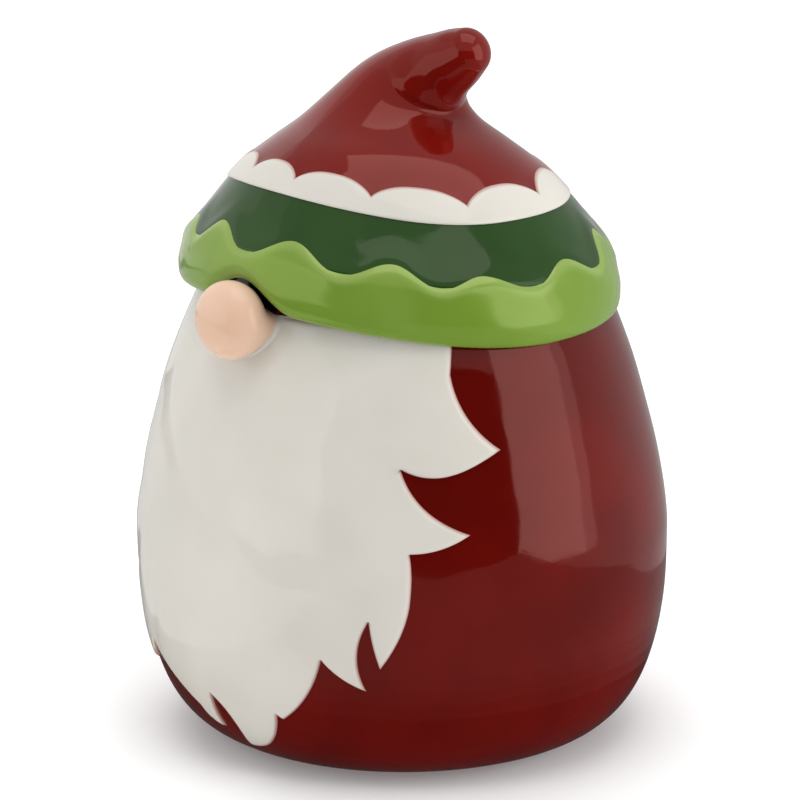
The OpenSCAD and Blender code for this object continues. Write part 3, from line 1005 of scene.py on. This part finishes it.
def clay_material():
    m = Nodes("bare_clay")
    colour = m.mix(m.ranged(m.noise(60, 4), 0.3, 0.7, 0, 1), (0.66, 0.59, 0.49), (0.76, 0.7, 0.6))
    colour = m.mix(m.ranged(m.noise(1500, 3), 0.6, 0.75, 0, 0.5), colour, (0.42, 0.35, 0.28))
    m.link(colour, m.shader.inputs["Base Color"])
    m.shader.inputs["Roughness"].default_value = 0.85
    m.bump(m.noise(1800, 4), 0.4, 0.0002)
    return m.material


def silicone_material():
    m = Nodes("silicone")
    colour = m.mix(m.noise(120, 2), (0.74, 0.74, 0.7), (0.86, 0.86, 0.83))
    m.link(colour, m.shader.inputs["Base Color"])
    m.link(m.ranged(m.noise(300, 2), 0.3, 0.7, 0.35, 0.5), m.shader.inputs["Roughness"])
    m.shader.inputs["Subsurface Weight"].default_value = 0.2
    m.shader.inputs["Subsurface Scale"].default_value = 0.002
    return m.material


# ---- Pieces ------------------------------------------------------------------------------------
RED_SHINE = {"shine": 0.85, "tint": (1, 0.5, 0.45)}
RED_BODY = glaze("red_glaze_jar", (0.095, 0.003, 0.0018), (0.13, 0.004, 0.0024), **RED_SHINE)
RED_HAT = glaze("red_glaze_hat", (0.145, 0.0045, 0.0025), (0.175, 0.006, 0.0035), **RED_SHINE)
WHITE = glaze("white_glaze", (0.69, 0.66, 0.595), (0.73, 0.70, 0.64))
WHITE_EDGED = glaze(
    "white_glaze_relief", (0.665, 0.638, 0.573), (0.713, 0.681, 0.621), edge="thin",
    edge_colour=(0.5, 0.3, 0.26),
)
PEACH = glaze(
    "peach_glaze", (0.76, 0.49, 0.35), (0.86, 0.6, 0.45), edge="pale", edge_colour=(0.71, 0.68, 0.62),
    edge_from=0.25, edge_to=0.95,
)
# Dark green glaze that turns near-black under the brim: painted shade for the gap over the nose.
DARK_GREEN = glaze(
    "dark_green_glaze", (0.014, 0.05, 0.008), (0.021, 0.064, 0.012), edge="painted_gap_shade",
    edge_colour=(0.001, 0.002, 0.001), shine=0.42, tint=(1, 1, 0.85),
)
# Light green glaze, paler along the wave's crest: partly glaze thinning over the edge, partly a painted
# highlight.
LIGHT_GREEN = glaze(
    "light_green_glaze", (0.156, 0.275, 0.028), (0.19, 0.315, 0.045), edge="crest_thin_glaze_and_highlight",
    edge_colour=(0.25, 0.37, 0.085), shine=1.0, tint=(0.95, 1, 0.5), rough=0.15,
)
CLAY = clay_material()
SILICONE = silicone_material()


def finish_piece(obj, body, material, replaces=None):
    """Gives a piece its glaze and its body, and hides the CAD node that it stands for."""
    obj.data.materials.append(material)
    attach(obj, body)
    if replaces:
        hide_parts(replaces)


finish_piece(jar_wall(), "jar", RED_BODY, "jar_shell")
finish_piece(jar_liner(), "jar", WHITE)
finish_piece(foot_ring(), "jar", CLAY)
finish_piece(base_glaze(), "jar", WHITE)
finish_piece(beard_piece(), "jar", WHITE_EDGED, "beard")
finish_piece(nose_piece(), "jar", PEACH, "nose")
finish_piece(crown_piece(), "lid", RED_HAT, "hat_crown")
finish_piece(trim_piece(), "lid", WHITE_EDGED, "scallop_trim")
finish_piece(band_piece(), "lid", DARK_GREEN, "hat_band")
finish_piece(brim_piece(), "lid", LIGHT_GREEN, "hat_brim")
finish_piece(flange_piece(), "lid", CLAY, "lid_flange")
finish_piece(gasket_piece(), "lid", SILICONE, "lid_gasket")
finish_piece(lining_piece(), "lid", WHITE)

# ---- Camera ------------------------------------------------------------------------------------
CAMERA_AZIMUTH = 45.0
CAMERA_ELEVATION = 15.0
CAMERA_DISTANCE = 1.4
AIM = Vector((0, 0, 0.12342))
LENS = 167.79
SENSOR = 36
SHIFT_X = -0.00475
CLIP_END = 50


def direction(azimuth, elevation):
    """Unit vector towards a place seen at an azimuth (0 is -Y, 90 is +X) and an elevation."""
    a, e = math.radians(azimuth), math.radians(elevation)
    return Vector((math.sin(a) * math.cos(e), -math.cos(a) * math.cos(e), math.sin(e)))


camera = bpy.data.objects.new("camera", bpy.data.cameras.new("camera"))
camera.data.lens = LENS
camera.data.sensor_width = SENSOR
camera.data.shift_x = SHIFT_X
camera.data.clip_end = CLIP_END
camera.location = AIM + direction(CAMERA_AZIMUTH, CAMERA_ELEVATION) * CAMERA_DISTANCE
camera.rotation_euler = (AIM - camera.location).to_track_quat("-Z", "Y").to_euler()
bpy.context.scene.collection.objects.link(camera)
bpy.context.scene.camera = camera
bpy.context.scene.view_settings.view_transform = "Standard"

# ---- Studio ------------------------------------------------------------------------------------
# How bright the room is as light and as seen in the glaze, and how brightly the floor glows.
AMBIENT = 0.57
REFLECTED_ROOM = 0.45
FLOOR_GLOW = 0.14
FLOOR_HALF = 6

world = bpy.data.worlds.new("studio")
world.use_nodes = True
sky = world.node_tree.nodes["Background"]
light_path = world.node_tree.nodes.new("ShaderNodeLightPath")
dim = world.node_tree.nodes.new("ShaderNodeMix")
world.node_tree.links.new(light_path.outputs["Is Glossy Ray"], dim.inputs["Factor"])
dim.inputs["A"].default_value = AMBIENT
dim.inputs["B"].default_value = REFLECTED_ROOM
world.node_tree.links.new(dim.outputs["Result"], sky.inputs["Strength"])
sky.inputs["Color"].default_value = (1, 1, 1, 1)
bpy.context.scene.world = world

# Lights: azimuth from the camera's side, elevation, distance, width and height, watts.
LIGHTS = {
    "right_light": (86, 10, 1.5, (1.2, 0.8), 10),
    "left_light": (-85, 20, 1.5, (1.6, 1.6), 4),
    "top_light": (-10, 80, 1.5, (1.2, 1.2), 10),
    "back_light": (180, 38, 2.2, (2.6, 1.2), 22),
}
# Panels that only reflections see: azimuth, elevation, distance, width and height, strength.
PANELS = {
    "front_flag": (9, 9, 1.25, (2.2, 0.95), 0.0),
    "right_panel": (66, 16, 1.5, (0.92, 1.34), 1.45),
    "right_fade": (70, 16, 1.6, (1.13, 1.43), 0.95),
    "left_panel": (-75, 10.5, 1.5, (2.4, 1.24), 0.9),
    "far_left_panel": (-140, 15, 1.5, (1.9, 1.4), 0.8),
    "left_fade": (-110, 16, 1.9, (4.4, 2.4), 0.62),
}
# The table that the jar's lower half reflects ends at a straight edge on the right.
TABLE_EDGE_AZIMUTH = 133.0
TABLE_EDGE_AT = 0.247
TABLE_REACH = 3
TABLE_CARD_Z = 0.001
REFLECTED_TABLE = 0.23
# Level cards that only reflections see: from and to towards the camera, from and to across, height,
# strength.
FLAT_CARDS = {
    # Painted shade: the black card is the table lying in the front flag's shadow, as the glaze reflects
    # it.
    "flag_shadow_table_card": ((0.3, 3), (-3, 0), 0.002, 0.0),
    "left_table_card": ((-0.7, 0.3), (-1.8, -0.165), 0.0015, 0.6),
    "top_panel": ((-0.4, 0.75), (-0.28, 1.2), 1.7, 1.35),
}
# The jar's own shade on the reflected table: discs of this radius and strength, each a little lower.
SHADES = ((0.116, 0.05), (0.13, 0.1), (0.145, 0.15), (0.162, 0.19))
SHADE_Z = 0.003
SHADE_STEP = 0.0003


def place_and_aim(obj, azimuth, elevation, distance):
    """Puts an object at an azimuth from the camera's side, facing the jar."""
    obj.location = AIM + direction(CAMERA_AZIMUTH + azimuth, elevation) * distance
    obj.rotation_euler = (AIM - obj.location).to_track_quat("-Z", "Y").to_euler()


def reflected_card(name, corners, strength):
    """A card that only reflections see, of an even brightness."""
    mesh = bpy.data.meshes.new(name)
    mesh.from_pydata(corners, [], [list(range(len(corners)))])
    cloth = Nodes(name + "_cloth")
    cloth.shader.inputs["Base Color"].default_value = (0, 0, 0, 1)
    cloth.shader.inputs["Roughness"].default_value = 1.0
    cloth.shader.inputs["Specular IOR Level"].default_value = 0.0
    cloth.shader.inputs["Emission Color"].default_value = (1, 1, 1, 1)
    cloth.shader.inputs["Emission Strength"].default_value = strength
    cloth.material.cycles.emission_sampling = "NONE"
    mesh.materials.append(cloth.material)
    card = bpy.data.objects.new(name, mesh)
    card.visible_camera = card.visible_diffuse = card.visible_shadow = False
    bpy.context.scene.collection.objects.link(card)
    return card


def flat_corners(azimuth, reach, across, z):
    """Corners of a level card that reaches out at an azimuth from the camera's side."""
    out = direction(CAMERA_AZIMUTH + azimuth, 0)
    side = Vector((-out.y, out.x, 0))
    near, far = reach
    left, right = across
    corners = ((near, left), (far, left), (far, right), (near, right))
    return [out * d + side * h + Vector((0, 0, z)) for d, h in corners]


for light_name, (azimuth, elevation, distance, size, watts) in LIGHTS.items():
    light = bpy.data.lights.new(light_name, "AREA")
    light.shape = "RECTANGLE"
    light.size, light.size_y = size
    light.energy = watts
    lamp = bpy.data.objects.new(light_name, light)
    lamp.visible_glossy = False
    place_and_aim(lamp, azimuth, elevation, distance)
    bpy.context.scene.collection.objects.link(lamp)

for panel_name, (azimuth, elevation, distance, (wide, tall), strength) in PANELS.items():
    w, h = wide / 2, tall / 2
    panel = reflected_card(panel_name, [(-w, -h, 0), (w, -h, 0), (w, h, 0), (-w, h, 0)], strength)
    place_and_aim(panel, azimuth, elevation, distance)
table = flat_corners(
    TABLE_EDGE_AZIMUTH, (-TABLE_REACH, TABLE_EDGE_AT), (-TABLE_REACH, TABLE_REACH), TABLE_CARD_Z
)
reflected_card("table_card", table, REFLECTED_TABLE)
for card_name, (reach, across, height, strength) in FLAT_CARDS.items():
    reflected_card(card_name, flat_corners(0, reach, across, height), strength)
for place, (radius, strength) in enumerate(SHADES):
    up = Vector((0, 0, SHADE_Z - SHADE_STEP * place))
    rim = [direction(azimuth, 0) * radius + up for azimuth in range(0, 360, 5)]
    reflected_card(f"shade_card_{place}", rim, strength)

floor_mesh = bpy.data.meshes.new("floor")
floor_corners = [(x * FLOOR_HALF, y * FLOOR_HALF, 0) for x, y in ((-1, -1), (1, -1), (1, 1), (-1, 1))]
floor_mesh.from_pydata(floor_corners, [], [[0, 1, 2, 3]])
floor = bpy.data.objects.new("floor", floor_mesh)
bpy.context.scene.collection.objects.link(floor)
paint = Nodes("floor_paint")
white = paint.mix(paint.noise(3, 2), (0.95, 0.95, 0.95), (0.97, 0.97, 0.97))
paint.link(white, paint.shader.inputs["Base Color"])
paint.shader.inputs["Roughness"].default_value = 0.9
paint.shader.inputs["Emission Color"].default_value = (1, 1, 1, 1)
paint.shader.inputs["Emission Strength"].default_value = FLOOR_GLOW
floor_mesh.materials.append(paint.material)
floor.visible_glossy = False
